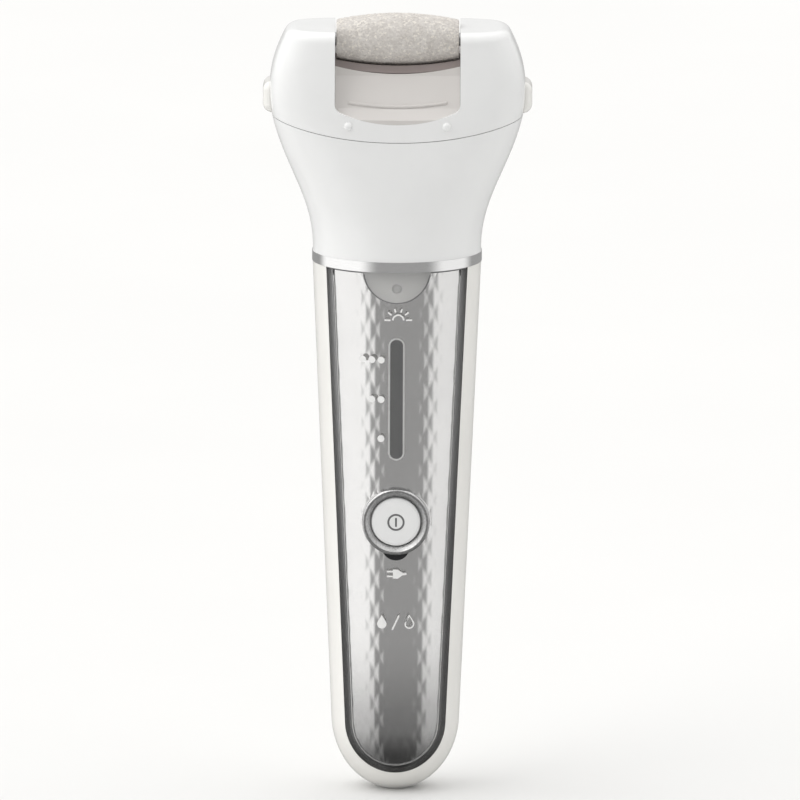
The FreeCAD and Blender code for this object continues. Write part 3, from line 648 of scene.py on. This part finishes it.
def barrel_radius(x):
    return ROLLER_MID - (ROLLER_MID - ROLLER_END) * (x / ROLLER_HALF) ** 2


def grains(p, per_mm, place, reach, seed_scale, seed_place, share):
    """Rounded cells, each of its own height."""
    near, seeds = noise.voronoi(p * per_mm + Vector(place), distance_metric="DISTANCE")
    tall = 0.5 + 0.5 * noise.cell(seeds[0] * seed_scale + Vector(seed_place))
    return tall * max(0.0, 1 - near[0] / reach) * share


def grit(p):
    """Height of the grains at p in mm."""
    return GRIT_HIGH * (grains(p, *BIG_GRAINS) + grains(p, *SMALL_GRAINS) - GRIT_SINK)


def roller_drum(material):
    """Barrel of bonded grit round the core, its skin raised grain by grain."""
    bore = min(math.hypot(v.co.y / MM - ROLLER_Y, v.co.z / MM - ROLLER_Z)
               for v in nodes["roller_drum"].data.vertices)
    rows = int(2 * ROLLER_HALF / GRIT_STEP)
    round_count = int(2 * math.pi * ROLLER_MID / GRIT_STEP)
    verts, faces = [], []
    for i in range(rows + 1):
        x = -ROLLER_HALF + 2 * ROLLER_HALF * i / rows
        edge = min(1.0, (ROLLER_HALF - abs(x)) / RIM_WIDE)
        r = barrel_radius(x) - RIM_DROP * (1 - math.sqrt(max(0.0, 1 - (1 - edge) ** 2)))
        for j in range(round_count):
            a = 2 * math.pi * j / round_count
            out = Vector((0, math.cos(a), math.sin(a)))
            p = Vector((x, 0, 0)) + out * r
            p += out * grit(p) * (RIM_GRIT + (1 - RIM_GRIT) * edge)
            verts.append((p.x * MM, (ROLLER_Y + p.y) * MM, (ROLLER_Z + p.z) * MM))
    for i in range(rows):
        for j in range(round_count):
            k, m = i * round_count, (j + 1) % round_count
            faces.append((k + j, k + round_count + j, k + round_count + m, k + m))
    for side, i in ((-1, 0), (1, rows)):
        first = len(verts)
        for j in range(round_count):
            a = 2 * math.pi * j / round_count
            verts.append((side * ROLLER_HALF * MM, (ROLLER_Y + bore * math.cos(a)) * MM,
                          (ROLLER_Z + bore * math.sin(a)) * MM))
        for j in range(round_count):
            m = (j + 1) % round_count
            k = i * round_count
            quad = (k + j, k + m, first + m, first + j)
            faces.append(quad if side < 0 else quad[::-1])
    left, right = len(verts) - 2 * round_count, len(verts) - round_count
    for j in range(round_count):
        m = (j + 1) % round_count
        faces.append((left + j, left + m, right + m, right + j))
    o = piece("grit_drum", verts, faces, "roller", material)
    o.data.set_sharp_from_angle(angle=DRUM_CREASE)
    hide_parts("roller_drum")


# ---------------------------------------------------------------- printed marks, and a painted shade line round the lens

LINE, THIN_LINE, POWER_LINE = 0.36, 0.32, 0.42
POWER_Z, POWER_R, POWER_BAR = 63.6, 1.72, 1.0
DOT_R = 0.78
DOT_ROWS = ((100.9, 3), (91.8, 2), (82.8, 1))
DOT_X, DOT_PITCH = -3.45, 2.07
SUN_X, SUN_Z, SUN_R = 0.35, 110.1, 1.2
SUN_RAYS = ((0, 1.75, 3.1), (180, 1.75, 3.1), (38, 1.9, 2.9), (72, 1.9, 2.7),
            (108, 1.9, 2.7), (142, 1.9, 2.9))   # angle in degrees, start and end
PLUG_X, PLUG_Z = 0.1, 51.6
PLUG_BODY = ((-0.75, -1.05), (0.35, -1.05), (0.95, -0.62), (1.35, -0.3), (2.3, -0.22),
             (2.3, 0.22), (1.35, 0.3), (0.95, 0.62), (0.35, 1.05), (-0.75, 1.05))
PIN_Z, PIN_TIP = 0.55, 2.1
DROP_X, DROP_Z = 3.1, 40.0
FULL_DROP, EMPTY_DROP = (1.05, 2.1), (0.95, 2.0)        # radius, height of the tip
SLASH = ((-0.75, -1.3), (0.75, 2.0))
# The lens: its middle and radius, and the width of the painted shade line round its edge, which
# stands for the shade in the gap between lens and plate.
LENS_Z, LENS_R, LENS_SHADE_LINE = 121.4, 7.65, 0.22
LENS_START, LENS_END = 188, 352
DROP_STEPS, RING_STEPS = 20, 40


def drop(cx, cz, r, tip):
    """Outline of a water drop: a circle drawn out to a point above it."""
    open_angle = math.degrees(math.acos(r / tip))
    rim = arc(cx, cz, r, 90 + open_angle, 450 - open_angle, DROP_STEPS)
    return rim + [(cx, cz + tip)]


def fan(outline):
    """Triangles from the outline's middle."""
    cx = sum(p[0] for p in outline) / len(outline)
    cz = sum(p[1] for p in outline) / len(outline)
    return [[(cx, cz), a, b] for a, b in zip(outline, outline[1:] + outline[:1])]


def sun():
    """Half sun with rays: the sign for the light."""
    marks = stroke(arc(SUN_X, SUN_Z, SUN_R, 0, 180), LINE)
    for angle, near, far in SUN_RAYS:
        a = math.radians(angle)
        marks += stroke([(SUN_X + r * math.cos(a), SUN_Z + r * math.sin(a))
                         for r in (near, far)], LINE)
    return marks


def plug():
    """Mains plug lying on its side: the sign for charging."""
    marks = fan([(PLUG_X + x, PLUG_Z + z) for x, z in PLUG_BODY])
    for z in (-PIN_Z, PIN_Z):
        marks += stroke([(PLUG_X - PIN_TIP, PLUG_Z + z), (PLUG_X + PLUG_BODY[0][0], PLUG_Z + z)],
                        LINE)
    return marks


def drops():
    """A full drop, a slash and an empty drop: may be used wet or dry."""
    marks = fan(drop(-DROP_X, DROP_Z, *FULL_DROP))
    marks += stroke([(x, DROP_Z + z) for x, z in SLASH], LINE)
    ring = drop(DROP_X, DROP_Z, *EMPTY_DROP)
    marks += stroke(ring + ring[:2], THIN_LINE)[:-1] + stroke([ring[-1], ring[0]], THIN_LINE)
    return marks


def power_sign():
    """Ring with a bar in it: the sign for on and off."""
    ring = arc(0, POWER_Z, POWER_R, 0, 360, RING_STEPS)
    bar = [(0, POWER_Z - POWER_BAR), (0, POWER_Z + POWER_BAR)]
    return stroke(ring, POWER_LINE) + stroke(bar, POWER_LINE)


def marks_and_lens_shade(materials):
    cover, white = surface("window_cover"), materials["print_white"]
    laid_on_surface("mark_light", sun(), cover, "root", white)
    laid_on_surface("mark_charge", plug(), cover, "root", white)
    laid_on_surface("mark_wet_dry", drops(), cover, "root", white)
    dots = []
    for z, count in DOT_ROWS:
        for k in range(count):
            dots += disc(DOT_X - k * DOT_PITCH, z, DOT_R)
    laid_on_surface("mark_levels", dots, cover, "root", white)
    # Painted shade: a dark grey line round the lens's edge stands for the shade in the narrow gap
    # between lens and plate.
    rim = arc(0, LENS_Z, LENS_R - LENS_SHADE_LINE, LENS_START, LENS_END, RING_STEPS)
    laid_on_surface("lens_gap_painted_shade", stroke(rim, LENS_SHADE_LINE), surface("light_lens"), "root",
            materials["grey_print_and_shade"])
    laid_on_surface("mark_power", power_sign(), surface("power_button"), "power_button",
            materials["grey_print_and_shade"])


def main():
    make_camera()
    make_world()
    materials = make_materials()
    make_floor(paper())
    dress(materials)
    diamond_plate(materials["silver"])
    plate_edge(materials["edge_metal"])
    roller_drum(materials["abrasive"])
    marks_and_lens_shade(materials)


main()
